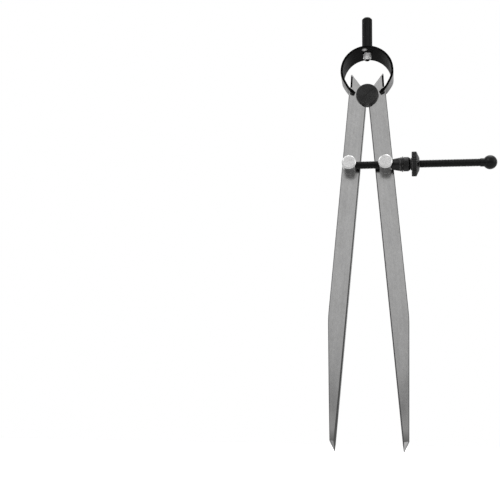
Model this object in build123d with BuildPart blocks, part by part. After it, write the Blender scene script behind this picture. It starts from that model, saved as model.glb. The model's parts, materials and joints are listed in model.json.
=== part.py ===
from build123d import *
import math
import os

os.makedirs("parts", exist_ok=True)

# ---------------------------------------------------------------- driving dimensions, in mm
# The tool stands on its two points.  Z is up through the handle, X runs along the
# adjusting screw, and -Y is the front, where the studs and the screw are.
fulcrum_z = 149.5  # height of the pivot above the points
half_spread = 5.14  # angle of each leg from the upright, as set

leg_thick = 4.0
leg_inner = 0.16  # inner edge, measured across the leg from the pivot
leg_outer = 7.86
leg_bend = 96.7  # where the outer edge turns in towards the point, below the pivot
leg_bend_radius = 60
horn_root = (1.83, 2.5)  # the horn's corners, across and above the pivot
horn_tip_inner = (7.35, 8.98)
horn_tip_outer = (7.72, 8.75)
horn_shoulder = (7.48, 2.15)
horn_seat = -0.2  # the shoulder's slope meets the outer edge here
leg_heel = 145.7  # where the ground bevel starts
leg_heel_width = 2.65
leg_length = 150.12  # pivot to point, along the leg
point_taper = 24.0  # length over which the leg thins towards its point
point_thick = 0.5

bow_radius = 11.18  # outside of the spring ring
bow_thick = 0.85
bow_drop = 9.24  # ring centre above the pivot
bow_width = 14.2  # at the top of the ring
bow_end_width = 6.6  # at the hooked ends
bow_gap_angle = 27.7  # each end, measured from straight down
notch_start = -66  # the legs' notches, as angles round the ring from +X
notch_turn = 32
notch_play = 0.2  # on each side of the spring's strip
bow_full_width_at = 3  # above the ring's centre
bow_end_width_at = -10
bow_shoulder_radius = 20

fulcrum_core = 3.7
fulcrum_flange = 4.7
flange_thick = 1.6

handle_radius = 2.2
handle_top = 185.5
handle_chamfer = 0.7
foot_radius = 1.95  # a plain foot below the gripped length
foot_height = 0.15
foot_shoulder = 0.4
spigot_radius = 1.1
spigot_length = 1.7  # below the outside of the ring
rivet_radius = 1.8
rivet_drop = 2.45  # below the inside of the ring
rivet_shoulder_drop = 1.1
rivet_dome_drop = 2.1
rivet_dome_out = 1.25
rivet_rim_rise = 0.2

stud_out = 7.48  # stud axis from the middle of the tool
stud_z = 117.6
stud_radius = 2.95
stud_front = 8.6  # how far the stud's face stands in front of the leg
stud_shank = 1.8
shank_proud = 0.5  # behind the keeper
keeper_radius = 2.7
keeper_thick = 0.7
screw_hole_depth = 1.9  # past the left stud's axis
nose_seat_radius = 2.4

screw_radius = 1.6
screw_ahead = 3.1  # screw axis in front of the leg's face
ball_radius = 2.9
ball_x = 49.9
collar_radius = 1.95
collar_start = 46.0
collar_length = 2.0
ball_hole_start = 44.9
screw_stops_short = 0.2  # of the ball's centre

nut_bore = 1.68
nose_start = 9.9
barrel_start = 13.4
barrel_end = 17.6
barrel_radius = 2.97
rim_start = 18.2
rim_end = 20.15
rim_radius = 5.15
nut_end = 21.4
nut_end_radius = 2.5
nose_radius = 2.15
nose_end_radius = 2.85
hub_start = 16.4
hub_radius = 2.1
wheel_face_radius = 2.6
jaw_slit = 0.3
jaw_gap = 0.15  # between the jaws and the thumbwheel, so that the jaws can open
jaw_play = 0.08
groove_radius = 2.6
groove_half = 0.35
wire_radius = 0.25
wire_ring_radius = 2.98
wire_ring_at = 14.5

play = 0.05  # running clearance, on the radius
slide_play = 0.1  # the screw in the right stud
snug = 0.02  # between pieces that are fixed together

# ---------------------------------------------------------------- working values and planes
leg_face = -leg_thick / 2
ring_z = fulcrum_z + bow_drop
lean = math.radians(half_spread)
leg_plane = Plane(
    origin=(0, 0, fulcrum_z),
    x_dir=(math.cos(lean), 0, math.sin(lean)),
    z_dir=(0, -1, 0),
)
leg_edge_plane = Plane(
    origin=(0, 0, fulcrum_z),
    x_dir=(0, 1, 0),
    z_dir=(math.cos(lean), 0, math.sin(lean)),
)
screw_y = leg_face - screw_ahead
screw_plane = Plane(origin=(0, screw_y, stud_z), x_dir=(1, 0, 0), z_dir=(0, -1, 0))
screw_line = Axis((0, screw_y, stud_z), (1, 0, 0))
ring_plane = Plane(origin=(0, 0, ring_z), x_dir=(1, 0, 0), z_dir=(0, -1, 0))


# ---------------------------------------------------------------- the two legs
stud_dx = stud_out
stud_dz = stud_z - fulcrum_z
stud_across = stud_dx * math.cos(lean) + stud_dz * math.sin(lean)
stud_along = -stud_dx * math.sin(lean) + stud_dz * math.cos(lean)
notch_outer = bow_radius + notch_play
notch_inner = bow_radius - bow_thick - notch_play
past_point = leg_length + point_thick
above_fulcrum = 20
past_edges = 60

with BuildPart() as right_leg:
    with BuildSketch(leg_plane) as leg_outline:
        with BuildLine():
            Polyline(
                (leg_inner, -leg_length),
                (leg_inner, 0),
                horn_root,
                horn_tip_inner,
                horn_tip_outer,
                horn_shoulder,
                (leg_outer, horn_seat),
                (leg_outer, -leg_bend),
                (leg_inner + leg_heel_width, -leg_heel),
                close=True,
            )
        make_face()
        bend_corner = leg_outline.vertices().sort_by_distance((leg_outer, -leg_bend, 0))[0]
        fillet(bend_corner, radius=leg_bend_radius)
        Circle(fulcrum_core + play, mode=Mode.SUBTRACT)
        with Locations((stud_across, stud_along)):
            Circle(stud_shank + play, mode=Mode.SUBTRACT)
    extrude(amount=leg_thick / 2, both=True)
    # The leg thins from both faces towards its point.
    with BuildSketch(leg_edge_plane):
        with BuildLine():
            Polyline(
                (-leg_thick / 2, above_fulcrum),
                (-leg_thick / 2, -leg_length + point_taper),
                (-point_thick / 2, -past_point),
                (point_thick / 2, -past_point),
                (leg_thick / 2, -leg_length + point_taper),
                (leg_thick / 2, above_fulcrum),
                close=True,
            )
        make_face()
    extrude(amount=past_edges, both=True, mode=Mode.INTERSECT)
    # The notch in the outer edge that the end of the bow spring drops into.
    with BuildSketch(ring_plane):
        with BuildLine():
            outer_arc = CenterArc((0, 0), notch_outer, notch_start, notch_turn)
            inner_arc = CenterArc((0, 0), notch_inner, notch_start, notch_turn)
            for end in (0, 1):
                Line(outer_arc @ end, inner_arc @ end)
        make_face()
    extrude(amount=leg_thick, both=True, mode=Mode.SUBTRACT)
right_leg.part.label = "right_leg"
export_step(right_leg.part, "parts/right_leg.step")

with BuildPart() as left_leg:
    mirror(right_leg.part, about=Plane.YZ)
left_leg.part.label = "left_leg"
export_step(left_leg.part, "parts/left_leg.step")


# ---------------------------------------------------------------- bow spring
gap_reach = 20  # beyond the ring
past_ring = 14  # above and below the ring's centre
strip_top = ring_z + past_ring
strip_bottom = ring_z - past_ring
strip_wide = ring_z + bow_full_width_at
strip_narrow = ring_z + bow_end_width_at
with BuildPart() as bow_spring:
    with BuildSketch(ring_plane):
        Circle(bow_radius)
        Circle(bow_radius - bow_thick, mode=Mode.SUBTRACT)
        with BuildLine():
            gap_x = gap_reach * math.sin(math.radians(bow_gap_angle))
            gap_z = gap_reach * math.cos(math.radians(bow_gap_angle))
            Polyline((0, 0), (-gap_x, -gap_z), (gap_x, -gap_z), close=True)
        make_face(mode=Mode.SUBTRACT)
    extrude(amount=bow_width / 2, both=True)
    # The strip narrows from the top of the ring to its hooked ends.
    with BuildSketch(Plane.YZ) as strip_side:
        with BuildLine():
            Polyline(
                (-bow_width / 2, strip_top),
                (-bow_width / 2, strip_wide),
                (-bow_end_width / 2, strip_narrow),
                (-bow_end_width / 2, strip_bottom),
                (bow_end_width / 2, strip_bottom),
                (bow_end_width / 2, strip_narrow),
                (bow_width / 2, strip_wide),
                (bow_width / 2, strip_top),
                close=True,
            )
        make_face()
        shoulders = strip_side.vertices().filter_by_position(
            Axis.Y, strip_wide - 1, strip_wide + 1
        )
        fillet(shoulders, radius=bow_shoulder_radius)
    extrude(amount=past_ring, both=True, mode=Mode.INTERSECT)
    with Locations((0, 0, ring_z + bow_radius)):
        Cylinder(spigot_radius + play, bow_radius / 2, mode=Mode.SUBTRACT)
bow_spring.part.label = "bow_spring"
export_step(bow_spring.part, "parts/bow_spring.step")


# ---------------------------------------------------------------- handle and its rivet
handle_base = ring_z + bow_radius
with BuildPart() as handle:
    with BuildSketch(Plane.XZ):
        with BuildLine():
            Polyline(
                (0, handle_base - foot_shoulder),
                (foot_radius, handle_base - foot_shoulder),
                (foot_radius, handle_base + foot_height),
                (handle_radius, handle_base + foot_shoulder),
                (handle_radius, handle_top - handle_chamfer),
                (handle_radius - handle_chamfer, handle_top),
                (0, handle_top),
                close=True,
            )
        make_face()
    revolve(axis=Axis.Z)
    # The foot of the handle is hollowed to sit on the ring.
    with BuildSketch(ring_plane):
        Circle(bow_radius + snug)
    extrude(amount=bow_width / 2, both=True, mode=Mode.SUBTRACT)
    # The spigot goes through the ring and is held by the rivet head inside.
    with BuildSketch(Plane.XY.offset(handle_base - spigot_length)):
        Circle(spigot_radius)
    extrude(amount=spigot_length + handle_radius)
handle.part.label = "handle"
export_step(handle.part, "parts/handle.step")

rivet_top = ring_z + bow_radius - bow_thick
rivet_shoulder = rivet_top - rivet_shoulder_drop
rivet_dome = (rivet_dome_out, rivet_top - rivet_dome_drop)
rivet_rim = rivet_top + rivet_rim_rise
spigot_end = handle_base - spigot_length - play
with BuildPart() as handle_rivet:
    with BuildSketch(Plane.XZ):
        with BuildLine():
            ThreePointArc(
                (0, rivet_top - rivet_drop),
                rivet_dome,
                (rivet_radius, rivet_shoulder),
            )
            Polyline(
                (rivet_radius, rivet_shoulder),
                (rivet_radius, rivet_rim),
                (spigot_radius + snug, rivet_rim),
                (spigot_radius + snug, spigot_end),
                (0, spigot_end),
                (0, rivet_top - rivet_drop),
            )
        make_face()
    revolve(axis=Axis.Z)
    # Its top is hollowed to follow the inside of the ring.
    with BuildSketch(ring_plane):
        Circle(bow_radius)
        Circle(bow_radius - bow_thick - snug, mode=Mode.SUBTRACT)
    extrude(amount=bow_width / 2, both=True, mode=Mode.SUBTRACT)
handle_rivet.part.label = "handle_rivet"
export_step(handle_rivet.part, "parts/handle_rivet.step")


# ---------------------------------------------------------------- fulcrum stud
flange_chamfer = 0.45
core_chamfer = 0.25
with BuildPart() as fulcrum_stud:
    with BuildSketch(Plane.XZ.offset(-leg_thick / 2)):
        with Locations((0, fulcrum_z)):
            Circle(fulcrum_core)
    extrude(amount=leg_thick + flange_thick / 2)
    with BuildSketch(Plane.XZ.offset(leg_thick / 2 + play)):
        with Locations((0, fulcrum_z)):
            Circle(fulcrum_flange)
    extrude(amount=flange_thick)
    chamfer(fulcrum_stud.faces().sort_by(Axis.Y)[0].edges(), length=flange_chamfer)
    chamfer(fulcrum_stud.faces().sort_by(Axis.Y)[-1].edges(), length=core_chamfer)
fulcrum_stud.part.label = "fulcrum_stud"
export_step(fulcrum_stud.part, "parts/fulcrum_stud.step")


# ---------------------------------------------------------------- studs on the legs
stud_chamfer = 0.35
shank_chamfer = 0.3
keeper_chamfer = 0.2


def stud_blank(stud_x):
    """A round stud with its shank, lying on a line along Y through (stud_x, stud_z)."""
    with BuildPart() as blank:
        with BuildSketch(Plane.XZ.offset(leg_thick / 2 + play)):
            with Locations((stud_x, stud_z)):
                Circle(stud_radius)
        extrude(amount=stud_front - play)
        chamfer(blank.faces().sort_by(Axis.Y)[0].edges(), length=stud_chamfer)
        with BuildSketch(Plane.XZ.offset(-leg_thick / 2 - keeper_thick - shank_proud)):
            with Locations((stud_x, stud_z)):
                Circle(stud_shank)
        extrude(amount=leg_thick + keeper_thick + 2 * shank_proud)
        chamfer(blank.faces().sort_by(Axis.Y)[-1].edges(), length=shank_chamfer)
    return blank.part


with BuildPart() as left_stud:
    add(stud_blank(-stud_out))
    # The blind hole that holds the end of the screw.
    with BuildSketch(Plane.YZ.offset(-stud_out - screw_hole_depth)):
        with Locations((screw_y, stud_z)):
            Circle(screw_radius + snug)
    extrude(amount=screw_hole_depth + 2 * stud_radius, mode=Mode.SUBTRACT)
left_stud.part.label = "left_stud"
export_step(left_stud.part, "parts/left_stud.step")

with BuildPart() as right_stud:
    add(stud_blank(stud_out))
    # The screw slides through this one.
    with BuildSketch(Plane.YZ.offset(stud_out)):
        with Locations((screw_y, stud_z)):
            Circle(screw_radius + slide_play)
    extrude(amount=2 * stud_radius, both=True, mode=Mode.SUBTRACT)
    # The seat for the nose of the nut.
    with BuildSketch(Plane.YZ.offset(nose_start - 3 * play)):
        with Locations((screw_y, stud_z)):
            Circle(nose_seat_radius)
    extrude(amount=stud_radius, mode=Mode.SUBTRACT)
right_stud.part.label = "right_stud"
export_step(right_stud.part, "parts/right_stud.step")


def keeper(stud_x):
    """The ring pressed on the end of a stud's shank behind the leg."""
    with BuildPart() as ring:
        with BuildSketch(Plane.XZ.offset(-leg_thick / 2 - play - keeper_thick)):
            with Locations((stud_x, stud_z)):
                Circle(keeper_radius)
                Circle(stud_shank + snug, mode=Mode.SUBTRACT)
        extrude(amount=keeper_thick)
        back_rim = ring.faces().sort_by(Axis.Y)[-1].edges().sort_by(SortBy.RADIUS)[-1]
        chamfer(back_rim, length=keeper_chamfer)
    return ring.part


with BuildPart() as left_keeper:
    add(keeper(-stud_out))
left_keeper.part.label = "left_keeper"
export_step(left_keeper.part, "parts/left_keeper.step")

with BuildPart() as right_keeper:
    add(keeper(stud_out))
right_keeper.part.label = "right_keeper"
export_step(right_keeper.part, "parts/right_keeper.step")


# ---------------------------------------------------------------- adjusting screw and ball end
screw_left = -stud_out - screw_hole_depth + play
screw_chamfer = 0.3
screw_end = ball_x - screw_stops_short
collar_chamfer = 0.15
with BuildPart() as adjusting_screw:
    with BuildSketch(Plane.YZ.offset(screw_left)):
        with Locations((screw_y, stud_z)):
            Circle(screw_radius)
    extrude(amount=screw_end - screw_left)
    chamfer(adjusting_screw.faces().sort_by(Axis.X)[-1].edges(), length=screw_chamfer)
adjusting_screw.part.label = "adjusting_screw"
export_step(adjusting_screw.part, "parts/adjusting_screw.step")

with BuildPart() as screw_ball:
    with Locations((ball_x, screw_y, stud_z)):
        Sphere(ball_radius)
    with BuildSketch(Plane.YZ.offset(collar_start)):
        with Locations((screw_y, stud_z)):
            Circle(collar_radius)
    extrude(amount=collar_length)
    chamfer(screw_ball.faces().sort_by(Axis.X)[0].edges(), length=collar_chamfer)
    with BuildSketch(Plane.YZ.offset(ball_hole_start)):
        with Locations((screw_y, stud_z)):
            Circle(screw_radius + snug)
    extrude(amount=ball_x - ball_hole_start, mode=Mode.SUBTRACT)
screw_ball.part.label = "screw_ball"
export_step(screw_ball.part, "parts/screw_ball.step")


# ---------------------------------------------------------------- quick nut
rim_chamfer = 0.2
barrel_chamfer = 0.2
barrel_end_chamfer = 0.5
with BuildPart() as nut_thumbwheel:
    with BuildSketch(screw_plane):
        with BuildLine():
            Polyline(
                (hub_start, nut_bore),
                (hub_start, hub_radius),
                (barrel_end + jaw_gap, hub_radius),
                (barrel_end + jaw_gap, wheel_face_radius),
                (rim_start, wheel_face_radius),
                (rim_start, rim_radius - rim_chamfer),
                (rim_start + rim_chamfer, rim_radius),
                (rim_end, rim_radius),
                (nut_end, nut_end_radius),
                (nut_end, nut_bore),
                close=True,
            )
        make_face()
    revolve(axis=screw_line)
nut_thumbwheel.part.label = "nut_thumbwheel"
export_step(nut_thumbwheel.part, "parts/nut_thumbwheel.step")

recess_radius = hub_radius + jaw_play
recess_start = hub_start - 2 * play
with BuildPart() as jaw_blank:
    with BuildSketch(screw_plane):
        with BuildLine():
            Polyline(
                (nose_start, nut_bore),
                (nose_start, nose_radius),
                (barrel_start, nose_end_radius),
                (barrel_start + barrel_chamfer, barrel_radius),
                (wire_ring_at - groove_half, barrel_radius),
                (wire_ring_at - groove_half, groove_radius),
                (wire_ring_at + groove_half, groove_radius),
                (wire_ring_at + groove_half, barrel_radius),
                (barrel_end - barrel_end_chamfer, barrel_radius),
                (barrel_end, wheel_face_radius),
                (barrel_end, recess_radius),
                (recess_start, recess_radius),
                (recess_start, nut_bore),
                close=True,
            )
        make_face()
    revolve(axis=screw_line)

with BuildPart() as nut_jaw_front:
    add(jaw_blank.part)
    split(bisect_by=Plane.XZ.offset(-screw_y + jaw_slit / 2), keep=Keep.TOP)
nut_jaw_front.part.label = "nut_jaw_front"
export_step(nut_jaw_front.part, "parts/nut_jaw_front.step")

with BuildPart() as nut_jaw_rear:
    add(jaw_blank.part)
    split(bisect_by=Plane.XZ.offset(-screw_y - jaw_slit / 2), keep=Keep.BOTTOM)
nut_jaw_rear.part.label = "nut_jaw_rear"
export_step(nut_jaw_rear.part, "parts/nut_jaw_rear.step")

with BuildPart() as nut_spring_ring:
    with BuildSketch(screw_plane):
        with Locations((wire_ring_at, wire_ring_radius)):
            Circle(wire_radius)
    revolve(axis=screw_line)
nut_spring_ring.part.label = "nut_spring_ring"
export_step(nut_spring_ring.part, "parts/nut_spring_ring.step")
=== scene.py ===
"""A spring divider: its visible pieces, finishes, studio and camera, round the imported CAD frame."""

import json
import math

import bmesh
import bpy
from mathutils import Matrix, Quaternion, Vector
from mathutils.geometry import delaunay_2d_cdt


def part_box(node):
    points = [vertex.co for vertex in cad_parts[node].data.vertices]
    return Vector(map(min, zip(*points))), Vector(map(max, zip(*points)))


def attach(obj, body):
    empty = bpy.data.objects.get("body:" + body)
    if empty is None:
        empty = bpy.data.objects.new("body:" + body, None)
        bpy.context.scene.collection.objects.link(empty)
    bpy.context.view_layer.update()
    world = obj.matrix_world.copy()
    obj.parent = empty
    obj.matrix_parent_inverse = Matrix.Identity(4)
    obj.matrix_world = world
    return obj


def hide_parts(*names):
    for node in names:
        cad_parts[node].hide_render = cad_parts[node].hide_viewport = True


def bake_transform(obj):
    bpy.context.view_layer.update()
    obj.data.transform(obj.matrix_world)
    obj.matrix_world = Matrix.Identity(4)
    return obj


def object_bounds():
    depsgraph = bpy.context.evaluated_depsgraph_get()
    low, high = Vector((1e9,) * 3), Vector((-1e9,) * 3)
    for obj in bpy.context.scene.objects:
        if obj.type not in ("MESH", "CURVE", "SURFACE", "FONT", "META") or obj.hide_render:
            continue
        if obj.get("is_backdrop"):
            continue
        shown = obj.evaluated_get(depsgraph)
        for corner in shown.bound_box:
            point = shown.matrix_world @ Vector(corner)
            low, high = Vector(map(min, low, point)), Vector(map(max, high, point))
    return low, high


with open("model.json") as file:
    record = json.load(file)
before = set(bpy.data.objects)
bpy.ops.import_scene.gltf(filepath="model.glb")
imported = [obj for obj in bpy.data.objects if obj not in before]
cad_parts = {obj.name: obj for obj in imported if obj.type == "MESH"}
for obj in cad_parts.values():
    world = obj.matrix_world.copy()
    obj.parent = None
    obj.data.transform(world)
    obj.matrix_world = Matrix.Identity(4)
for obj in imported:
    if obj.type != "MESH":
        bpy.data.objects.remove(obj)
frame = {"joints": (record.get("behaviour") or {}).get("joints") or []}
cad_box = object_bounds()

# ---------------------------------------------------------------- places, read from the frame
# Shapes are worked out in mm and scaled to metres when each piece is finished.
MM = 0.001


def box_mm(node):
    low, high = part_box(node)
    return low / MM, high / MM


def joint_place(name):
    joint = next(j for j in frame["joints"] if j["name"] == name)
    return Vector(joint["pos_m"]) / MM


pivot = joint_place("left_leg_open")
screw_low, screw_high = box_mm("adjusting_screw")
screw_mid = (screw_low + screw_high) / 2
screw_radius = (screw_high.z - screw_low.z) / 2
bow_low, bow_high = box_mm("bow_spring")
bow_radius = bow_high.x
ring_mid = Vector((0, 0, bow_high.z - bow_radius))
leg_low, leg_high = box_mm("right_leg")
leg_half = (leg_high.y - leg_low.y) / 2
stud_low, stud_high = box_mm("right_stud")
stud_x = (stud_low.x + stud_high.x) / 2
stud_z = (stud_low.z + stud_high.z) / 2
stud_radius = (stud_high.x - stud_low.x) / 2
screw_fit = 0.02


# ---------------------------------------------------------------- mesh tools
corner_steps = 4
corner_room = 0.45  # the most of a side that a rounded corner takes
least_hold = 1.05  # how far out a holding point has to be, against the corner's own cut
axis_near = 1e-6  # a radius under this is a point on the axis


def rounded(points, radius, support=0.12, closed=False):
    """A profile of (along, out) points with its corners rounded.  Each point gains a wear value,
    1 at the middle of a corner and 0 on the flats."""
    points = [Vector(p) for p in points]
    made = []
    for index, corner in enumerate(points):
        if not closed and index in (0, len(points) - 1):
            made.append((corner.x, corner.y, 0.0))
            continue
        before = points[index - 1] - corner
        after = points[(index + 1) % len(points)] - corner
        room = min(before.length, after.length) * corner_room
        taken = min(radius, room)
        hold = min(taken + support, room)
        first, last = corner + before.normalized() * taken, corner + after.normalized() * taken
        holds = [corner + way.normalized() * hold for way in (before, after)]
        if hold <= taken * least_hold:
            holds = []
        made += [(held.x, held.y, 0.0) for held in holds[:1]]
        for step in range(corner_steps + 1):
            t = step / corner_steps
            at = first * (1 - t) ** 2 + corner * 2 * t * (1 - t) + last * t ** 2
            made.append((at.x, at.y, math.sin(math.pi * t)))
        made += [(held.x, held.y, 0.0) for held in holds[1:]]
    return made


def around(axis, centre, along, p, q):
    if axis == "X":
        return Vector((along, centre.y + p, centre.z + q))
    if axis == "Y":
        return Vector((centre.x + p, along, centre.z + q))
    return Vector((centre.x + p, centre.y + q, along))


def turned(profile, axis, centre, count=96, shape=None, closed=False):
    """A turned body: a profile of (along, radius, wear) swept round an axis.
    shape(along, angle, radius, wear) may change a point's radius and wear."""
    verts, wear, rings, faces = [], [], [], []
    for along, radius, worn_here in profile:
        ring = []
        for step in range(1 if radius < axis_near else count):
            angle = math.tau * step / count
            r, w = shape(along, angle, radius, worn_here) if shape else (radius, worn_here)
            ring.append(len(verts))
            verts.append(around(axis, centre, along, r * math.cos(angle), r * math.sin(angle)))
            wear.append(w)
        rings.append(ring)
    pairs = list(zip(rings, rings[1:])) + ([(rings[-1], rings[0])] if closed else [])
    for a, b in pairs:
        for step in range(count):
            following = (step + 1) % count
            face = [a[step % len(a)], b[step % len(b)], b[following % len(b)], a[following % len(a)]]
            face = list(dict.fromkeys(face))
            if len(face) > 2:
                faces.append(face)
    return verts, faces, wear


def raw_object(name, verts, faces, wear=None):
    """An object whose mesh is still in mm."""
    mesh = bpy.data.meshes.new(name)
    mesh.from_pydata(verts, [], faces)
    if wear:
        attribute = mesh.attributes.new("wear", "FLOAT", "POINT")
        attribute.data.foreach_set("value", wear)
    shaped = bmesh.new()
    shaped.from_mesh(mesh)
    bmesh.ops.recalc_face_normals(shaped, faces=shaped.faces)
    shaped.to_mesh(mesh)
    shaped.free()
    return linked(name, mesh)


def linked(name, data):
    """A new object in the scene."""
    obj = bpy.data.objects.new(name, data)
    bpy.context.scene.collection.objects.link(obj)
    return obj


def cut(obj, *cutters):
    """Takes the cutters' shapes out of obj, and removes the cutters."""
    for cutter in cutters:
        modifier = obj.modifiers.new("cut", "BOOLEAN")
        modifier.operation = "DIFFERENCE"
        modifier.solver = "EXACT"
        modifier.object = cutter
    bpy.context.view_layer.update()
    evaluated = obj.evaluated_get(bpy.context.evaluated_depsgraph_get())
    mesh = bpy.data.meshes.new_from_object(evaluated)
    obj.modifiers.clear()
    obj.data = mesh
    for cutter in cutters:
        bpy.data.objects.remove(cutter)


def cylinder(axis, centre, start, end, radius, count=64):
    """A cutter from start to end along an axis."""
    verts, faces, _ = turned([(start, 0, 0), (start, radius, 0), (end, radius, 0), (end, 0, 0)],
                             axis, centre, count)
    return raw_object("cutter", verts, faces)


def finish_piece(obj, finishes, nodes, body=None, sharp=30):
    """Scales the mesh to metres, shades it, gives it its finishes and ties it to the frame."""
    mesh = obj.data
    for vertex in mesh.vertices:
        vertex.co = vertex.co * MM
    mesh.polygons.foreach_set("use_smooth", [True] * len(mesh.polygons))
    mesh.set_sharp_from_angle(angle=math.radians(sharp))
    for finish in finishes:
        mesh.materials.append(finish)
    weighted = obj.modifiers.new("weighted", "WEIGHTED_NORMAL")
    weighted.keep_sharp = True
    if body:
        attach(obj, body)
    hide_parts(*nodes)


# ---------------------------------------------------------------- material tools
white = (1, 1, 1, 1)
no_colour = (0, 0, 0, 1)


def new_finish(name):
    material = bpy.data.materials.new(name)
    material.use_nodes = True
    return material, material.node_tree, material.node_tree.nodes["Principled BSDF"]


def add_node(tree, kind, inputs=None, **settings):
    made = tree.nodes.new(kind)
    for key, value in settings.items():
        setattr(made, key, value)
    for key, value in (inputs or {}).items():
        if isinstance(value, bpy.types.NodeSocket):
            tree.links.new(value, made.inputs[key])
        else:
            made.inputs[key].default_value = value
    return made


def object_place(tree):
    return add_node(tree, "ShaderNodeTexCoord").outputs["Object"]


def moved_from(tree, centre):
    """Object coordinates about a centre in metres."""
    return add_node(tree, "ShaderNodeVectorMath",
                    {0: object_place(tree), 1: tuple(-c for c in centre)},
                    operation="ADD").outputs[0]


def placed(tree, scale, turn=(0, 0, 0), centre=(0, 0, 0)):
    """Object coordinates about a centre, turned and then scaled."""
    rotated = add_node(tree, "ShaderNodeMapping",
                       {"Vector": moved_from(tree, centre), "Rotation": turn}).outputs[0]
    return add_node(tree, "ShaderNodeMapping", {"Vector": rotated, "Scale": scale}).outputs[0]


def noise(tree, scale, detail=3.0, roughness=0.55, turn=(0, 0, 0)):
    """Noise whose cells are 1/scale metres along each axis."""
    return add_node(tree, "ShaderNodeTexNoise",
                    {"Vector": placed(tree, scale, turn), "Scale": 1.0, "Detail": detail,
                     "Roughness": roughness}).outputs["Fac"]


def spread(tree, value, low, high, start=0.3, end=0.7):
    """value, taken from start..end to low..high."""
    return add_node(tree, "ShaderNodeMapRange",
                    {"Value": value, "From Min": start, "From Max": end,
                     "To Min": low, "To Max": high}).outputs["Result"]


def maths(tree, operation, a, b):
    return add_node(tree, "ShaderNodeMath", {0: a, 1: b}, operation=operation).outputs[0]


def blended(tree, share, a, b, kind="MIX"):
    """A colour mixed from a to b."""
    mixer = tree.nodes.new("ShaderNodeMix")
    mixer.data_type = "RGBA"
    mixer.blend_type = kind
    for socket, value in zip((mixer.inputs[0], mixer.inputs[6], mixer.inputs[7]), (share, a, b)):
        if isinstance(value, bpy.types.NodeSocket):
            tree.links.new(value, socket)
        else:
            socket.default_value = value
    return mixer.outputs[2]


def grey(value, warmth=0.0):
    return (value * (1 + warmth), value, value * (1 - warmth), 1)


def fixed(shader, constants):
    """Sets the shader's own sockets, whose names have _ for a space."""
    for key, value in constants.items():
        shader.inputs[key.replace("_", " ")].default_value = value


def surface(tree, shader, colour, roughness, height, depth, **constants):
    """Links colour, roughness and a bump of the given depth in metres, and sets the constants."""
    tree.links.new(colour, shader.inputs["Base Color"])
    tree.links.new(roughness, shader.inputs["Roughness"])
    bump = add_node(tree, "ShaderNodeBump", {"Height": height, "Strength": 1.0, "Distance": depth})
    tree.links.new(bump.outputs["Normal"], shader.inputs["Normal"])
    fixed(shader, constants)


def worn(tree, low=0.35, high=0.75):
    """The wear attribute, broken up by noise."""
    patch_cells = 900.0
    edge = add_node(tree, "ShaderNodeAttribute", attribute_name="wear").outputs["Fac"]
    patch = spread(tree, noise(tree, (patch_cells,) * 3), 0.35, 1.0)
    return spread(tree, maths(tree, "MULTIPLY", edge, patch), 0.0, 1.0, low, high)


# ---------------------------------------------------------------- finishes
# Noise is given in cells to the metre, across, through and along the leg.
scratch_cells = (5200, 5200, 160)
streak_cells = (1300, 1300, 55)
cross_cells = (700, 700, 420)
blotch_cells = (170, 170, 90)
speckle_cells = (1900, 1900, 900)
cross_tilt, cross_lean = 0.3, 0.5
scratch_depth = 0.000012
# Where shade is painted on the steel near the point, darker towards the tip: from and to which height
# in metres, and to what share.
painted_shade_bands = ((0.002, 0.034, 0.62), (0.0045, 0.0095, 0.34))


def steel_finish(name, lean, bright=0.50, painted_point_shade=True):
    """Belt-ground steel: fine scratches along the leg, faint blotches, and painted shade darkening it
    towards the point.
    """
    material, tree, shader = new_finish(name)
    turn = (0, lean, 0)
    fine = noise(tree, scratch_cells, 4, 0.6, turn)
    streak = noise(tree, streak_cells, 3, 0.6, turn)
    cross = noise(tree, cross_cells, 4, 0.65, (cross_tilt, lean + cross_lean, 0))
    blotch = noise(tree, blotch_cells, 3, 0.6, turn)
    speckle = noise(tree, speckle_cells, 3, 0.6, turn)
    tone = 1.0
    for pattern, strength in ((streak, 0.05), (cross, 0.05), (blotch, 0.06), (speckle, 0.06)):
        tone = maths(tree, "ADD", tone, spread(tree, pattern, -strength, strength))
    colour = blended(tree, 1.0, grey(bright, 0.004), tone, "MULTIPLY")
    if painted_point_shade:
        # Painted shade: the colour darkens towards the point, standing in for the darker reflection
        # there.
        height = add_node(tree, "ShaderNodeSeparateXYZ", {0: object_place(tree)}).outputs["Z"]
        for low, high, share in painted_shade_bands:
            near = spread(tree, height, 1.0, 0.0, low, high)
            colour = blended(tree, near, colour, grey(bright * share, 0.01))
    rough = maths(tree, "ADD", spread(tree, fine, -0.04, 0.04), spread(tree, blotch, 0.17, 0.22))
    relief = maths(tree, "ADD", fine, maths(tree, "MULTIPLY", streak, 0.8))
    surface(tree, shader, colour, rough, relief, scratch_depth, Metallic=1.0)
    return material


oxide_cells = 1200.0
cloud_cells = 260.0


def black_finish(name, base, rough, specular, depth=0.000015, wear=0.10, lines=None, highlight_spot=None):
    """Black oxide on steel: nearly black, a fine grain, and bare steel showing on worn edges.
    A painted highlight, given as (x, y, half length, half width) in mm, may go in the top of the
    ring, standing in for the rivet's reflection there."""
    material, tree, shader = new_finish(name)
    fine = noise(tree, (oxide_cells,) * 3, 4, 0.6)
    cloud = noise(tree, (cloud_cells,) * 3, 3, 0.55)
    tone = maths(tree, "ADD", spread(tree, cloud, 0.75, 1.3), spread(tree, fine, -0.12, 0.12))
    colour = blended(tree, 1.0, grey(base, 0.01), tone, "MULTIPLY")
    colour = blended(tree, worn(tree), colour, grey(wear, 0.02))
    if highlight_spot:
        # Painted highlight: a lighter patch where the rivet's reflection falls on the ring's inside.
        colour = blended(tree, painted_highlight(tree, *highlight_spot), colour, grey(0.42, 0.01))
    roughness = maths(tree, "ADD", spread(tree, cloud, -0.06, 0.06),
                      spread(tree, fine, rough - 0.04, rough + 0.04))
    relief = maths(tree, "ADD", fine, lines(tree)) if lines else fine
    surface(tree, shader, colour, roughness, relief, depth, Specular_IOR_Level=specular)
    return material


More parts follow.
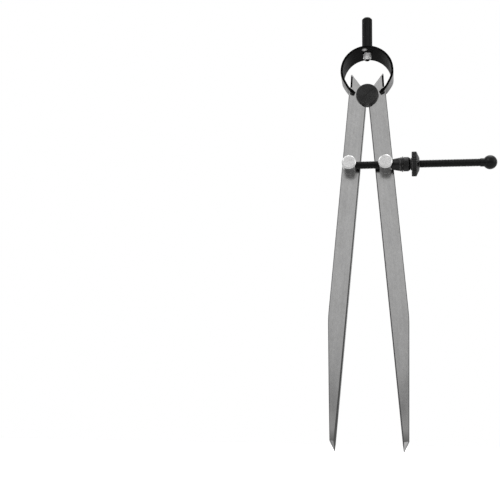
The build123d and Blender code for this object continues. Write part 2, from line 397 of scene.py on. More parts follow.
def painted_highlight(tree, x, y, half_long, half_wide):
    """1 in the middle of the painted highlight in the top of the ring, and 0 outside it."""
    half_deep = 3.0
    moved = moved_from(tree, (x * MM, y * MM, bow_high.z * MM))
    scale = tuple(1 / (half * MM) for half in (half_long, half_wide, half_deep))
    scaled = add_node(tree, "ShaderNodeVectorMath", {0: moved, 1: scale},
                      operation="MULTIPLY").outputs[0]
    away = add_node(tree, "ShaderNodeVectorMath", {0: scaled}, operation="LENGTH").outputs["Value"]
    return spread(tree, away, 1.0, 0.0, 0.35, 1.0)


def rings_about(centre, axis, spacing):
    """Lines left by turning, as rings about a centre in mm."""
    def lines(tree):
        place = placed(tree, (1 / spacing,) * 3, centre=tuple(c * MM for c in centre))
        return add_node(tree, "ShaderNodeTexWave",
                        {"Vector": place, "Scale": 1.0, "Distortion": 4.0, "Detail": 3.0,
                         "Detail Scale": 0.6},
                        wave_type="RINGS", rings_direction=axis).outputs["Fac"]
    return lines


mottle_cells = 1500.0
haze_cells = 420.0


def bright_finish(name, bright, smoothest, depth=0.000018, metallic=1.0):
    """Bright plating with a faint crystal mottle."""
    material, tree, shader = new_finish(name)
    mottle = noise(tree, (mottle_cells,) * 3, 4, 0.65)
    haze = noise(tree, (haze_cells,) * 3, 2, 0.5)
    tone = maths(tree, "ADD", spread(tree, mottle, -0.20, 0.14), spread(tree, haze, 0.92, 1.04))
    colour = blended(tree, 1.0, grey(bright, 0.004), tone, "MULTIPLY")
    colour = blended(tree, worn(tree, 0.2, 0.6), colour, grey(0.90))
    rough = maths(tree, "ADD", spread(tree, mottle, -0.04, 0.05),
                  spread(tree, haze, smoothest, smoothest + 0.08))
    surface(tree, shader, colour, rough, mottle, depth, Metallic=metallic)
    return material


# ---------------------------------------------------------------- legs
# Places on a leg are across it and along it, measured from the pivot.
leg_lean = math.radians(5.14)
leg_inner = 0.16
leg_outer = 7.86
leg_bend = -96.7
leg_bend_radius = 60.0
leg_heel = Vector((2.81, -145.7))
leg_point = -150.12
leg_thins_at = -126.12
heel_half = 0.6
point_half = 0.13
gap_half = 1.25
gap_floor = -4.8
gap_slope = 0.35
gap_hold = 3.0
fulcrum_cut = 4.25
shank_hole = 1.85
horn_root = Vector((1.83, 2.5))
horn_tip_inner = Vector((7.35, 8.98))
horn_tip_outer = Vector((7.72, 8.75))
horn_shoulder = Vector((7.48, 2.15))
horn_side = (0.12, 0.9)  # where the horn's wide edge starts and ends, as shares of its length
horn_corner = 0.2
bow_bend_in = 0.6
notch_outer = bow_radius + 0.35 - bow_bend_in
notch_inner = bow_radius - 1.05 - bow_bend_in
notch_deep = bow_radius - 1.30 - bow_bend_in
notch_end = math.radians(-57.6) - leg_lean
notch_floor = math.radians(10)
notch_back = notch_floor * 1.35
seat_drop = 0.2
# The widths of the rounded edges.
leg_edge = 0.12
outer_edge = 0.3
dark_edge = 0.40
horn_edge = 0.8
point_edge_share = 0.3
edge_steps = 3
# The finishes of a leg, in the order that they are given in.
FACE, FACET, SIDE, BLACK = range(4)


def in_leg(x, z):
    """A place across and along the right leg, measured from the pivot."""
    dx, dz = x - pivot.x, z - pivot.z
    return Vector((dx * math.cos(leg_lean) + dz * math.sin(leg_lean),
                   dz * math.cos(leg_lean) - dx * math.sin(leg_lean)))


def leg_to_frame(place, y, side):
    """A place on the right leg, or on the left one when side is -1, in the frame's axes."""
    x = place.x * math.cos(leg_lean) - place.y * math.sin(leg_lean)
    z = place.x * math.sin(leg_lean) + place.y * math.cos(leg_lean)
    return Vector((side * (pivot.x + x), y, pivot.z + z))


def arc(centre, radius, start, end, step=4.0):
    count = max(2, math.ceil(abs(math.degrees(end - start)) / step))
    return [centre + radius * Vector((math.cos(start + (end - start) * k / count),
                                      math.sin(start + (end - start) * k / count)))
            for k in range(count + 1)]


def line_meets_circle(p, q, centre, radius, far):
    d, f = q - p, p - centre
    a, b, c = d.dot(d), 2 * f.dot(d), f.dot(f) - radius ** 2
    root = math.sqrt(b * b - 4 * a * c)
    return p + d * ((-b + (root if far else -root)) / (2 * a))


def bearing(place, centre):
    return math.atan2(place.y - centre.y, place.x - centre.x)


def curve_corner(before, corner, after, radius, steps=4):
    start = corner + (before - corner).normalized() * radius
    end = corner + (after - corner).normalized() * radius
    return [start * (1 - k / steps) ** 2 + corner * 2 * (k / steps) * (1 - k / steps)
            + end * (k / steps) ** 2 for k in range(steps + 1)]


def outer_side(seat):
    """The leg's outline from the point up its outer side to the spring's notch."""
    run, rise = leg_outer - leg_heel.x, leg_bend - leg_heel.y
    turn = math.atan2(run, rise)
    bend_mid = Vector((leg_outer - leg_bend_radius,
                       leg_bend + leg_bend_radius * math.tan(turn / 2)))
    across = (leg_thins_at - leg_heel.y) / rise
    thins = Vector((leg_heel.x + run * across, leg_thins_at))
    return [Vector((leg_inner, leg_point)), leg_heel, thins,
            *arc(bend_mid, leg_bend_radius, -turn, 0, step=0.7), seat]


def notch(seat):
    """The notch that the spring's end hooks into, round the ring's centre."""
    ring = in_leg(ring_mid.x, ring_mid.z)
    low_mouth = line_meets_circle(seat, horn_shoulder, ring, notch_outer, False)
    high_mouth = line_meets_circle(horn_shoulder, horn_tip_outer, ring, notch_inner, False)
    return (arc(ring, notch_outer, bearing(low_mouth, ring), notch_end)
            + arc(ring, notch_deep, notch_end, notch_end + notch_floor)
            + arc(ring, notch_inner, notch_end + notch_back, bearing(high_mouth, ring)))


def horn_and_hub():
    """The horn's two ends, and the round seat of the fulcrum stud."""
    hub = Vector((0, 0))
    horn_meets_hub = line_meets_circle(horn_root, horn_tip_inner, hub, fulcrum_cut, True)
    gap_meets_hub = Vector((gap_half, -math.sqrt(fulcrum_cut ** 2 - gap_half ** 2)))
    return (curve_corner(horn_shoulder, horn_tip_outer, horn_tip_inner, horn_corner)
            + curve_corner(horn_tip_outer, horn_tip_inner, horn_meets_hub, horn_corner)
            + arc(hub, fulcrum_cut, bearing(horn_meets_hub, hub), bearing(gap_meets_hub, hub)))


def leg_outline(tip_edge):
    """The right leg's outline, anticlockwise from the point, and the width of its edge at each
    place."""
    seat = Vector((leg_outer, -seat_drop))
    outer = outer_side(seat)
    hook = notch(seat)
    horn = [horn_shoulder.lerp(horn_tip_outer, share) for share in horn_side]
    head = horn_and_hub()
    inner = [Vector((gap_half, gap_floor)), Vector((leg_inner, gap_floor - gap_slope))]
    inner += [Vector((leg_inner, v)) for v in (gap_floor - gap_hold, leg_thins_at, leg_heel.y)]
    edges = [outer_edge] * len(outer) + [leg_edge] * len(hook)
    edges += [horn_edge] * len(horn) + [leg_edge] * len(head)
    edges += [dark_edge, dark_edge, dark_edge, (dark_edge + tip_edge) / 2, tip_edge]
    edges[0] = tip_edge * point_edge_share
    return outer + hook + horn + head + inner, edges


def inset(points, distances):
    """The outline moved inwards, each point by its own distance."""
    sharpest = 0.25
    made = []
    for index, (point, distance) in enumerate(zip(points, distances)):
        a = (point - points[index - 1]).normalized()
        b = (points[(index + 1) % len(points)] - point).normalized()
        na, nb = Vector((-a.y, a.x)), Vector((-b.y, b.x))
        made.append(point + (na + nb) * (distance / max(sharpest, 1 + na.dot(nb))))
    return made


def half_thickness(along):
    """The leg's half thickness: full, then ground thinner to the heel, then a steeper facet."""
    if along >= leg_thins_at:
        return leg_half
    if along >= leg_heel.y:
        share = (leg_thins_at - along) / (leg_thins_at - leg_heel.y)
        return leg_half + (heel_half - leg_half) * share
    share = min(1.0, (leg_heel.y - along) / (leg_heel.y - leg_point))
    return heel_half + (point_half - heel_half) * share


def inside(place, loop):
    crossings = 0
    for a, b in zip(loop, loop[1:] + loop[:1]):
        if (a.y > place.y) != (b.y > place.y):
            if place.x < a.x + (place.y - a.y) / (b.y - a.y) * (b.x - a.x):
                crossings += 1
    return crossings % 2 == 1


def cap_triangles(loop, hole):
    """A leg's flat face, as triangles of places counted along the loop and then the hole, each
    with its middle."""
    flat = loop + hole
    count = len(loop)
    edges = [(k, (k + 1) % count) for k in range(count)]
    edges += [(count + k, count + (k + 1) % len(hole)) for k in range(len(hole))]
    # The lines where the face is ground thinner, and where the point's facet starts.
    edges += [(2, count - 2), (1, count - 1)]
    _, _, triangles, origin, _, _ = delaunay_2d_cdt(flat, edges, [], 0, 1e-5)
    for triangle in triangles:
        corners = [origin[t][0] for t in triangle]
        middle = sum((flat[c] for c in corners), Vector((0, 0))) / 3
        if inside(middle, loop) and not inside(middle, hole):
            yield corners, middle


def leg_piece(name, node, side, tip_edge, finishes):
    """A leg: its two faces with their rounded edges, joined round the outline and the hole."""
    outline, widths = leg_outline(tip_edge)
    spans = list(zip(widths, widths[1:] + widths[:1]))
    shank = in_leg(stud_x, stud_z)
    hole = arc(shank, shank_hole, 0, math.tau, step=7.5)[:-1]
    verts, faces, marks = [], [], []

    def add_ring(places, depths, back):
        start = len(verts)
        for place, depth in zip(places, depths):
            half = half_thickness(place.y)
            y = half - min(depth, half * 0.5)
            verts.append(leg_to_frame(place, y if back else -y, side))
        return list(range(start, len(verts)))

    def join(a, b, finish_of):
        for k in range(len(a)):
            n = (k + 1) % len(a)
            faces.append((a[k], a[n], b[n], b[k]))
            marks.append(finish_of(k))

    def edge_finish(k):
        width = min(spans[k])
        return BLACK if width == horn_edge else SIDE if width > leg_edge else FACE

    sides, holes = [], []
    for back in (False, True):
        rings = []
        for step in range(edge_steps + 1):
            angle = math.pi / 2 * step / edge_steps
            moved = inset(outline, [w * (1 - math.cos(angle)) for w in widths])
            depths = [min(w, dark_edge) * (1 - math.sin(angle)) for w in widths]
            rings.append((moved, add_ring(moved, depths, back)))
        for (_, a), (_, b) in zip(rings, rings[1:]):
            join(a, b, edge_finish)
        sides.append(rings[0][1])
        cap_loop, cap_ring = rings[-1]
        holes.append(add_ring(hole, [0] * len(hole), back))
        index = cap_ring + holes[-1]
        for corners, middle in cap_triangles(cap_loop, hole):
            faces.append([index[c] for c in corners])
            marks.append(FACET if middle.y < leg_heel.y else FACE)
    join(*sides, lambda k: BLACK if horn_edge in spans[k] else SIDE)
    join(*holes, lambda k: SIDE)
    obj = raw_object(name, verts, faces)
    obj.data.polygons.foreach_set("material_index", marks)
    finish_piece(obj, finishes, [node], node, sharp=25)


def legs():
    # The two facets are painted a darker and a lighter grey, standing in for the different light each
    # catches, and near its point the left leg's inner edge is ground wider.
    # Painted shade on the left facet and painted light on the right one: the same steel at two
    # brightnesses.
    facet_left = steel_finish("point_facet_left_painted_shade", 0.0, 0.34, painted_point_shade=False)
    facet_right = steel_finish("point_facet_right_painted_light", 0.0, 0.56, painted_point_shade=False)
    side_steel = steel_finish("leg_side", 0.0, 0.11, painted_point_shade=False)
    horn_black = black_finish("horn_edge", 0.002, 0.4, 0.02, wear=0.01)
    leg_piece("leg_left", "left_leg", -1, 1.05,
              [steel_finish("leg_steel_left", -leg_lean), facet_left, side_steel, horn_black])
    leg_piece("leg_right", "right_leg", 1, 0.6,
              [steel_finish("leg_steel_right", leg_lean), facet_right, side_steel, horn_black])


# ---------------------------------------------------------------- bow spring
bow_thick = 0.95
bow_half_wide = (bow_high.y - bow_low.y) / 2
bow_half_end = 3.3
bow_gap = math.radians(33.5)
bow_corner = 0.2
bow_edge_hold = 0.35
bow_hole = 1.15
taper_from = 3.0  # above the ring's centre
taper_long = 13.0
taper_ease = 0.18
sinks_over = math.radians(30)
bead_half = 0.74
bead_turn = math.radians(12.5)
bead_fullness = 0.6
bead_end_share = 0.6
near_top = (0, 0.15, 0.5, 1.2, 2.4)  # the first stops, in degrees from the top
strip_steps, bead_steps = 56, 12
# The faces round the section that are the strip's front edge and its inside.
front_and_inside = range(6, 18)


def bow_half_width(height):
    """Half the strip's width, at a height from the ring's centre."""
    share = (taper_from - height) / taper_long
    if share <= -taper_ease:
        share = 0.0
    elif share < taper_ease:
        share = (share + taper_ease) ** 2 / (4 * taper_ease)
    return bow_half_wide + (bow_half_end - bow_half_wide) * min(1.0, share)


def bow_sink(angle):
    """How far the ring's lower half bends in, at an angle from +X."""
    share = min(1.0, max(0.0, -angle / sinks_over))
    return bow_bend_in * share * share * (3 - 2 * share)


def strip_loop(half, inner, outer):
    """The strip's section as (y, radius, wear), with rounded corners."""
    loop = []
    sides = ((1, outer, 0), (-1, outer, 90), (-1, inner, 180), (1, inner, 270))
    for sign, radius, start in sides:
        y0 = sign * (half - bow_corner)
        r0 = radius - bow_corner if radius == outer else radius + bow_corner
        for step in range(4):
            angle = math.radians(start + 30 * step)
            loop.append((y0 + bow_corner * math.cos(angle), r0 + bow_corner * math.sin(angle),
                         math.sin(math.pi * (step + 0.5) / 4)))
        # Points that keep the worn edge narrow.
        if start in (0, 180):
            for back in (bow_edge_hold, 2 * half - bow_edge_hold - 2 * bow_corner):
                loop.append((y0 - sign * back, radius, 0.0))
    return loop


def bow_piece(name, side, leg, finishes):
    """Half of the bow spring, from the top of the ring to the bead at its end."""
    end = -math.pi / 2 + bow_gap
    bead_from = end + bead_turn
    stops = [math.pi / 2 - math.radians(a) for a in near_top]
    stops += [stops[-1] + (bead_from - stops[-1]) * (k + 1) / strip_steps for k in range(strip_steps)]
    stops += [bead_from - bead_turn * (k + 1) / bead_steps for k in range(bead_steps)]
    verts, faces, wear, marks = [], [], [], []
    rings = []
    for angle in stops:
        # The last of the strip swells into a bead.
        share = (angle - end) / bead_turn
        bump = math.sin(math.pi * share) ** bead_fullness if 0 < share < 1 else 0.0
        thick = bow_thick / 2 + (bead_half - bow_thick / 2) * bump
        if angle == stops[-1]:
            thick *= bead_end_share
        middle = bow_radius - bow_thick / 2 - bow_sink(angle)
        half = bow_half_width(bow_radius * math.sin(angle))
        ring = []
        for y, radius, w in strip_loop(half, middle - thick, middle + thick):
            ring.append(len(verts))
            verts.append(Vector((side * radius * math.cos(angle), y,
                                 ring_mid.z + radius * math.sin(angle))))
            wear.append(w)
        rings.append(ring)
    for a, b in zip(rings, rings[1:]):
        for k in range(len(a)):
            n = (k + 1) % len(a)
            faces.append((a[k], a[n], b[n], b[k]))
            marks.append(0 if k in front_and_inside else 1)
    faces += [tuple(rings[0]), tuple(reversed(rings[-1]))]
    marks += [0, 0]
    obj = raw_object(name, verts, faces, wear)
    obj.data.polygons.foreach_set("material_index", marks)
    cut(obj, cylinder("Z", ring_mid, bow_high.z - 3, bow_high.z + 3, bow_hole))
    finish_piece(obj, finishes, ["bow_spring"])
    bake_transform(obj)


# ---------------------------------------------------------------- handle and rivet
ring_sides = 192
strip_clear = 8.0  # past the edges of the strip, to each side of the ring's middle
handle_fit = 0.02
knurl_teeth = 22
knurl_deep = 0.17
foot_sunk, foot_slimmer, foot_tall = 0.28, 0.25, 0.15
grip_from = 0.4
handle_chamfer = 0.75
handle_corner = 0.14
knurl_foot, knurl_head, knurl_hold = 0.75, 1.05, 0.12
knurl_rows = 24


def handle_piece(finish):
    low, high = box_mm("handle")
    radius = (high.x - low.x) / 2
    foot = radius - foot_slimmer
    base = bow_high.z
    profile = rounded([(base - foot_sunk, 0), (base - foot_sunk, foot), (base + foot_tall, foot),
                       (base + grip_from, radius), (high.z - handle_chamfer, radius),
                       (high.z, radius - handle_chamfer), (high.z, 0)], handle_corner)
    # Rings close together where the knurl starts and ends.
    knurl_from, knurl_to = base + knurl_foot, high.z - knurl_head
    below = [p for p in profile if p[0] < knurl_from]
    above = [p for p in profile if p[0] > knurl_to]
    heights = [knurl_from + (knurl_to - knurl_from) * k / knurl_rows for k in range(knurl_rows + 1)]
    heights += [knurl_from + knurl_hold, knurl_to - knurl_hold]
    rows = below + [(height, radius, 0.0) for height in sorted(heights)] + above

    def knurl(along, angle, r, w):
        if not knurl_from < along < knurl_to:
            return r, w
        wave = 0.5 + 0.5 * math.cos(angle * knurl_teeth)
        return r - knurl_deep * (1 - wave ** 0.7), 0.75 * wave ** 6

    verts, faces, wear = turned(rows, "Z", Vector((0, 0, 0)), knurl_teeth * 8, knurl)
    obj = raw_object("handle_knurled", verts, faces, wear)
    # The foot is hollowed to sit on the ring.
    cut(obj, cylinder("Y", ring_mid, -strip_clear, strip_clear, bow_radius + handle_fit, ring_sides))
    finish_piece(obj, [finish], ["handle"], "head")


rivet_stands_out = 0.9
rivet_nose, rivet_nose_tall = 1.45, 1.2
rivet_corner = 0.14
# how far up from the rivet's end the painted shade reaches
rivet_painted_shade = 0.45
rivet_clear = 3.0
spring_bed = 0.87  # how deep under the ring's outer face the rivet ends


def rivet_piece(finishes):
    low, high = box_mm("handle_rivet")
    radius = (high.x - low.x) / 2
    end = low.z - rivet_stands_out
    lip = end + rivet_nose_tall
    profile = [(end, 0, 0.0)]
    steps = 12
    for k in range(1, steps + 1):
        angle = math.pi / 2 * k / steps
        profile.append((end + rivet_nose_tall * (1 - math.cos(angle)),
                        rivet_nose * math.sin(angle), 0.0))
    profile += rounded([(lip + 0.05, rivet_nose), (lip + 0.1, radius),
                        (high.z, radius), (high.z, 0)], rivet_corner)
    verts, faces, wear = turned(profile, "Z", Vector((0, 0, 0)), 96)
    obj = raw_object("rivet_head", verts, faces, wear)
    # The very end is painted black: painted shade under the rivet's nose.
    for polygon in obj.data.polygons:
        polygon.material_index = int(polygon.center.z < end + rivet_painted_shade)
    # It ends where the strip's inner face is.
    bed, clear = bow_radius - spring_bed, bow_radius + rivet_clear
    verts, faces, _ = turned([(-strip_clear, bed, 0), (-strip_clear, clear, 0),
                              (strip_clear, clear, 0), (strip_clear, bed, 0)],
                             "Y", ring_mid, ring_sides, closed=True)
    cut(obj, raw_object("cutter", verts, faces))
    finish_piece(obj, finishes, ["handle_rivet"], "head")


def spring_and_handle():
    # The ring's inside carries a painted highlight beside the rivet, standing in for the rivet's
    # reflection.
    inside_black = black_finish("spring_inside", 0.002, 0.42, 0.02, wear=0.01,
                                highlight_spot=(-1.05, -4.9, 1.35, 1.9))
    outside_black = black_finish("spring_outside", 0.010, 0.30, 0.5, wear=0.03)
    for name, side, leg in (("bow_left", -1, "left_leg"), ("bow_right", 1, "right_leg")):
        bow_piece(name, side, leg, [inside_black, outside_black])
    handle_piece(black_finish("handle_oxide", 0.003, 0.34, 0.15, wear=0.02))
    bright = bright_finish("rivet_bright", 0.86, 0.38, 0.000001, metallic=0.45)
    rivet_piece([bright, inside_black])


# ---------------------------------------------------------------- studs and keepers
fulcrum_chamfer, fulcrum_flange, fulcrum_step = 0.42, 1.6, 0.5
fulcrum_end_chamfer = 0.25
fulcrum_corner = 0.13
stud_chamfer, stud_rim, stud_crown = 0.4, 0.33, 0.04
stud_step = 1.15
stud_end_chamfer = 0.3
stud_corner = 0.12
stud_face_deep = 0.4
keeper_inner = 1.13
keeper_outer_chamfer, keeper_inner_chamfer = 0.2, 0.15
keeper_corner = 0.08
under_head = 0.05  # the gap between a stud's head and the leg
bore_clear = 6.0  # past the stud's side
blind_deep = 1.9  # past the stud's middle
slide_play = 0.1
jaw_seat, jaw_seat_room = 2.58, 0.25


def fulcrum_piece(finish):
    low, high = box_mm("fulcrum_stud")
    flange = (high.x - low.x) / 2
    core = flange - fulcrum_step
    back = low.y + fulcrum_flange
    profile = rounded([(low.y, 0), (low.y, flange - fulcrum_chamfer),
                       (low.y + fulcrum_chamfer, flange), (back, flange), (back, core),
                       (high.y - fulcrum_end_chamfer, core), (high.y, core - fulcrum_end_chamfer),
                       (high.y, 0)], fulcrum_corner)
    verts, faces, wear = turned(profile, "Y", pivot, 128)
    obj = raw_object("fulcrum_disc", verts, faces, wear)
    finish_piece(obj, [finish], ["fulcrum_stud"], "head")


def stud_piece(name, node, body, x, holes, finishes):
    low, high = box_mm(node)
    shank = stud_radius - stud_step
    under = -leg_half - under_head
    profile = rounded([(low.y + stud_crown, 0), (low.y, stud_radius - stud_chamfer),
                       (low.y + stud_rim, stud_radius), (under, stud_radius), (under, shank),
                       (high.y - stud_end_chamfer, shank), (high.y, shank - stud_end_chamfer),
                       (high.y, 0)], stud_corner)
    verts, faces, wear = turned(profile, "Y", Vector((x, 0, stud_z)), 128)
    obj = raw_object(name, verts, faces, wear)
    cut(obj, *[cylinder("X", screw_mid, *hole) for hole in holes])
    # The face and its rim are plated bright, and the turned side gets a darker copy of the plating,
    # painted shade.
    for polygon in obj.data.polygons:
        polygon.material_index = int(polygon.center.y > low.y + stud_face_deep)
    finish_piece(obj, finishes, [node], body)


def keeper_piece(name, node, body, x, finish):
    low, high = box_mm(node)
    outer, inner = (high.x - low.x) / 2, stud_radius - keeper_inner
    profile = rounded([(low.y, inner), (low.y, outer), (high.y - keeper_outer_chamfer, outer),
                       (high.y, outer - keeper_outer_chamfer), (high.y, inner + keeper_inner_chamfer),
                       (high.y - keeper_inner_chamfer, inner)], keeper_corner, closed=True)
    verts, faces, wear = turned(profile, "Y", Vector((x, 0, stud_z)), 96, closed=True)
    obj = raw_object(name, verts, faces, wear)
    finish_piece(obj, [finish], [node], body)


def studs():
    fulcrum_piece(black_finish("fulcrum_oxide", 0.005, 0.34, 0.36, depth=0.00002, wear=0.06,
                               lines=rings_about(pivot, "Y", 0.0003)))
    bright = bright_finish("plated", 0.86, 0.18)
    # The stud's side finish is the plating made darker: painted shade.
    finishes = [bright, bright_finish("stud_side_painted_shade", 0.46, 0.20, 0.000005)]
    # Bores along the screw, as (start, end, radius).
    blind = (-stud_x - blind_deep, -stud_x + bore_clear, screw_radius + screw_fit)
    through = (stud_x - bore_clear, stud_x + bore_clear, screw_radius + slide_play)
    seat = (box_mm("nut_jaw_front")[0].x - jaw_seat_room, stud_x + bore_clear, jaw_seat)
    stud_piece("stud_left", "left_stud", "screw_carrier", -stud_x, [blind], finishes)
    stud_piece("stud_right", "right_stud", "slide_stud", stud_x, [through, seat], finishes)
    keeper_piece("keeper_left", "left_keeper", "screw_carrier", -stud_x, bright)
    keeper_piece("keeper_right", "right_keeper", "slide_stud", stud_x, bright)


# ---------------------------------------------------------------- screw and ball
thread_pitch = 0.6
thread_depth = 0.16
thread_rows = 8  # to each turn
thread_root, thread_flank = 0.12, 0.66  # as shares of half a pitch
collar_radius = 1.74
ball_corner = 0.12


def screw_piece(finish):
    length = screw_high.x - screw_low.x
    rows = math.ceil(length / thread_pitch * thread_rows)
    profile = [(screw_low.x, 0, 0)]
    profile += [(screw_low.x + length * k / rows, screw_radius, 0.0) for k in range(rows + 1)]
    profile += [(screw_high.x, 0, 0)]

    def thread(along, angle, r, w):
        phase = (along / thread_pitch - angle / math.tau) % 1.0
        rise = min(1.0, max(0.0, (abs(2 * phase - 1) - thread_root) / thread_flank))
        return r - thread_depth * (1 - rise), 0.6 * rise ** 8

    verts, faces, wear = turned(profile, "X", screw_mid, 40, thread)
    obj = raw_object("screw_thread", verts, faces, wear)
    finish_piece(obj, [finish], ["adjusting_screw"], "screw_carrier", sharp=75)


def ball_piece(finish):
    low, high = box_mm("screw_ball")
    radius = (high.z - low.z) / 2
    middle = high.x - radius
    bore = screw_radius + screw_fit
    meets = math.asin(collar_radius / radius)
    profile = rounded([(middle, 0), (middle, bore), (low.x, bore), (low.x, collar_radius),
                       (middle - radius * math.cos(meets), collar_radius)], ball_corner)
    steps = 40
    for k in range(steps + 1):
        angle = meets + (math.pi - meets) * k / steps
        out = radius * math.sin(angle) if k < steps else 0
        profile.append((middle - radius * math.cos(angle), out, 0.0))
    verts, faces, wear = turned(profile, "X", screw_mid, 96)
    obj = raw_object("screw_ball_end", verts, faces, wear)
    finish_piece(obj, [finish], ["screw_ball"], "screw_carrier")


def screw_and_ball():
    screw_piece(black_finish("screw_oxide", 0.003, 0.34, 0.16, wear=0.008))
    ball_piece(black_finish("ball_oxide", 0.003, 0.26, 0.22, depth=0.000007, wear=0.02))


# ---------------------------------------------------------------- quick nut
# Places along the screw, and the radii that go with them.
nut_bore = screw_radius + 0.08
wheel_hub = 2.1
wheel_collar_from, wheel_collar = 17.75, 2.6
wheel_from, wheel_to = 18.2, 20.15
wheel_chamfer = 0.25
cone_end, cone_lip, cone_chamfer = 2.75, 2.45, 0.1
wheel_corner = 0.1
wheel_teeth = 40
wheel_tooth_deep = 0.24
wheel_teeth_in = 1.3  # how far in from the rim the teeth start to show
wheel_face_room = 0.03
nose_end = 2.15
barrel_from = 13.4
barrel_ring, barrel_dip = 2.78, 2.70
barrel_step = 0.12
barrel_full = 0.3
groove, groove_half, groove_floor = 14.5, 0.36, 2.6
barrel_taper, barrel_end = 0.75, 2.45
recess_from, recess = 16.3, 2.18
jaw_corner = 0.08
jaw_ridges = 56
jaw_ridge_deep = 0.05
ridges_from, ridges_to, ridges_over = 0.5, 0.8, 2.8  # from the groove, to the end, past a radius
jaw_gap_half = 0.15
wire_sides = 16
wire_outside = (3, 4, 5)
wire_wear = 0.6


def thumbwheel_piece(finish):
    low, high = box_mm("nut_thumbwheel")
    rim = (high.z - low.z) / 2
    points = [(low.x, nut_bore), (low.x, wheel_hub), (wheel_collar_from, wheel_hub),
              (wheel_collar_from, wheel_collar), (wheel_from, wheel_collar),
              (wheel_from, rim - wheel_chamfer), (wheel_from + wheel_chamfer, rim), (wheel_to, rim),
              (high.x - cone_chamfer, cone_end), (high.x, cone_lip), (high.x, nut_bore)]
    profile = rounded(points, wheel_corner, closed=True)

    def knurl(along, angle, r, w):
        on_rim = along > wheel_from + wheel_face_room
        share = max(0.0, min(1.0, r - rim + wheel_teeth_in)) if on_rim else 0.0
        wave = 0.5 + 0.5 * math.cos(angle * wheel_teeth)
        return r - wheel_tooth_deep * share * (1 - wave ** 0.8), max(w, 0.55 * share * wave ** 4)

    verts, faces, wear = turned(profile, "X", screw_mid, wheel_teeth * 8, knurl, closed=True)
    obj = raw_object("thumbwheel", verts, faces, wear)
    finish_piece(obj, [finish], ["nut_thumbwheel"], "nut")


def halved(obj, plane_y, front):
    """Keeps the half of obj in front of the plane or behind it, and closes the cut."""
    half = bmesh.new()
    half.from_mesh(obj.data)
    found = bmesh.ops.bisect_plane(half, geom=half.verts[:] + half.edges[:] + half.faces[:],
                                   plane_co=(0, plane_y, 0), plane_no=(0, 1 if front else -1, 0),
                                   clear_outer=True, dist=1e-5)
    edges = [e for e in found["geom_cut"] if isinstance(e, bmesh.types.BMEdge)]
    bmesh.ops.contextual_create(half, geom=edges)
    bmesh.ops.recalc_face_normals(half, faces=half.faces)
    half.to_mesh(obj.data)
    half.free()


def jaw_piece(name, node, body, front, finish):
    low, high = box_mm("nut_jaw_front")
    barrel = (high.z - low.z) / 2
    start, end = low.x, high.x
    points = [(start, nut_bore), (start, nose_end), (barrel_from - barrel_step, barrel_ring),
              (barrel_from, barrel_dip), (barrel_from + barrel_step, barrel_ring),
              (barrel_from + barrel_full, barrel), (groove - groove_half, barrel),
              (groove - groove_half, groove_floor), (groove + groove_half, groove_floor),
              (groove + groove_half, barrel), (end - barrel_taper, barrel), (end, barrel_end),
              (end, recess), (recess_from, recess), (recess_from, nut_bore)]
    profile = rounded(points, jaw_corner, support=0.1, closed=True)

    def lightly_ridged(along, angle, r, w):
        if groove + ridges_from < along < end - ridges_to and r > ridges_over:
            wave = 0.5 + 0.5 * math.cos(angle * jaw_ridges)
            return r - jaw_ridge_deep * (1 - wave), w
        return r, w

    verts, faces, wear = turned(profile, "X", screw_mid, jaw_ridges * 6, lightly_ridged, closed=True)
    obj = raw_object(name, verts, faces, wear)
    halved(obj, screw_mid.y + (-jaw_gap_half if front else jaw_gap_half), front)
    finish_piece(obj, [finish], [node], body)


def wire_piece(finish):
    low, high = box_mm("nut_spring_ring")
    middle = (low.x + high.x) / 2
    wire = (high.x - low.x) / 2
    radius = (high.z - low.z) / 2 - wire
    profile = []
    for k in range(wire_sides):
        angle = math.tau * k / wire_sides
        profile.append((middle + wire * math.cos(angle), radius + wire * math.sin(angle),
                        wire_wear if k in wire_outside else 0.0))
    verts, faces, wear = turned(profile, "X", screw_mid, 96, closed=True)
    obj = raw_object("nut_wire_ring", verts, faces, wear)
    finish_piece(obj, [finish], ["nut_spring_ring"], "nut")


def quick_nut():
    nut_black = black_finish("nut_oxide", 0.003, 0.24, 0.34, depth=0.000005, wear=0.08)
    thumbwheel_piece(nut_black)
    jaw_piece("jaw_front", "nut_jaw_front", "jaw_front", True, nut_black)
    jaw_piece("jaw_rear", "nut_jaw_rear", "jaw_rear", False, nut_black)
    wire_piece(nut_black)


# ---------------------------------------------------------------- studio
def studio_finish(name, **constants):
    material, _, shader = new_finish(name)
    fixed(shader, constants)
    return material


def sheet(name, left, right, front, back, finish):
    """A flat rectangle on the floor's level."""
    mesh = bpy.data.meshes.new(name)
    mesh.from_pydata([(left, front, 0), (right, front, 0), (right, back, 0), (left, back, 0)],
                     [], [(0, 1, 2, 3)])
    mesh.materials.append(finish)
    return linked(name, mesh)


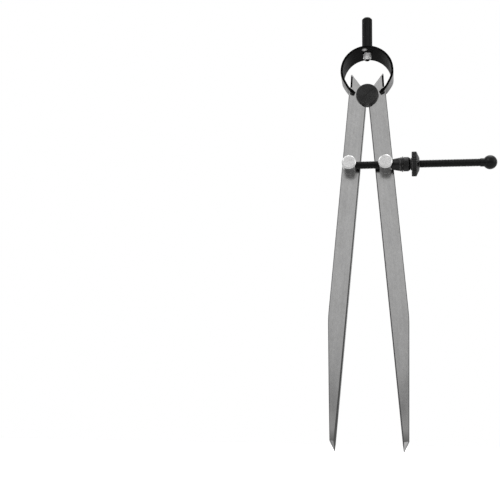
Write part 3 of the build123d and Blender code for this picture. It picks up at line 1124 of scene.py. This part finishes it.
def stage_floor():
    """The white paper that the tool stands on, all the way to the dome."""
    reach = 4.0
    paint = studio_finish("floor_paper", Base_Color=grey(0.86), Roughness=0.9,
                          Specular_IOR_Level=0.1, Emission_Color=white, Emission_Strength=0.5)
    floor = sheet("floor", -reach, reach, -reach, reach, paint)
    floor.visible_glossy = False
    floor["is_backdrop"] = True


def stage_paper():
    """The part of the floor round the tool, as the tool's surfaces reflect it.  The camera
    doesn't see it."""
    glow = studio_finish("paper_glow", Base_Color=no_colour, Emission_Color=white,
                         Emission_Strength=0.62)
    paper = sheet("paper", -0.8, 0.8, -0.25, 0.45, glow)
    paper.location = (0, 0, -0.0002)
    paper.visible_camera = False
    paper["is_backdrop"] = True


def stage_backdrop():
    """A pale dome far behind everything.  It is seen, and the world does the lighting."""
    shaped = bmesh.new()
    bmesh.ops.create_uvsphere(shaped, u_segments=48, v_segments=24, radius=3.9)
    mesh = bpy.data.meshes.new("backdrop")
    shaped.to_mesh(mesh)
    shaped.free()
    mesh.materials.append(studio_finish("backdrop_white", Base_Color=no_colour,
                                        Specular_IOR_Level=0.0, Emission_Color=white,
                                        Emission_Strength=1.0))
    dome = linked("backdrop", mesh)
    for way in ("diffuse", "glossy", "transmission", "volume_scatter", "shadow"):
        setattr(dome, f"visible_{way}", False)
    dome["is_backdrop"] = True


def world_light():
    """Soft light all round: dark below, even above the horizon, a little brighter behind."""
    world = bpy.data.worlds.new("studio")
    bpy.context.scene.world = world
    world.use_nodes = True
    tree = world.node_tree
    way = add_node(tree, "ShaderNodeTexCoord").outputs["Generated"]
    part = add_node(tree, "ShaderNodeSeparateXYZ", {0: way})
    level = spread(tree, part.outputs["Z"], 0.22, 0.72, -0.10, 0.12)
    behind = spread(tree, part.outputs["Y"], 1.0, 1.3, 0.2, 0.8)
    up = spread(tree, part.outputs["Z"], 0.0, 0.15, 0.3, 0.9)
    total = maths(tree, "ADD", maths(tree, "MULTIPLY", level, behind), up)
    tree.links.new(total, tree.nodes["Background"].inputs["Strength"])
    tree.nodes["Background"].inputs["Color"].default_value = white


def soft_box(name, place, aim, size, power):
    data = bpy.data.lights.new(name, "AREA")
    data.shape = "RECTANGLE"
    data.size, data.size_y = size
    data.energy = power
    light = linked(name, data)
    light.location = place
    light.rotation_mode = "QUATERNION"
    light.rotation_quaternion = (Vector(aim) - Vector(place)).to_track_quat("-Z", "Y")
    light.visible_camera = False


def studio():
    stage_floor()
    stage_paper()
    stage_backdrop()
    world_light()
    middle = (0.0, 0.0, 0.11)
    soft_box("key", (-0.55, -0.75, 0.75), middle, (0.45, 0.45), 1.6)
    soft_box("top", (0.1, 0.05, 0.95), middle, (0.7, 0.5), 2.0)
    soft_box("side", (0.85, -0.35, 0.3), middle, (0.25, 0.6), 0.7)


# ---------------------------------------------------------------- camera
# The camera stands near the floor, a little to the right, and looks up and to the left.
camera_place = Vector((11.758, -396.418, 3.0))
camera_left = math.radians(8.807)
camera_up = math.radians(11.284)
camera_roll = math.radians(1.113)
camera_lens = 69.62


def add_camera():
    data = bpy.data.cameras.new("camera")
    data.sensor_width = 36.0
    data.lens = camera_lens
    data.clip_start = 0.01
    data.clip_end = 20.0
    camera = linked("camera", data)
    camera.location = camera_place * MM
    forward = Vector((-math.sin(camera_left) * math.cos(camera_up),
                      math.cos(camera_left) * math.cos(camera_up), math.sin(camera_up)))
    camera.rotation_mode = "QUATERNION"
    camera.rotation_quaternion = (forward.to_track_quat("-Z", "Y")
                                  @ Quaternion((0, 0, 1), camera_roll))
    bpy.context.scene.camera = camera


# ---------------------------------------------------------------- the whole scene
add_camera()
studio()
bpy.context.scene.view_settings.view_transform = "Standard"
legs()
spring_and_handle()
studs()
screw_and_ball()
quick_nut()
boxes = {"cad": cad_box, "visual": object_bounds()}
{key: [list(corner) for corner in box] for key, box in boxes.items()}
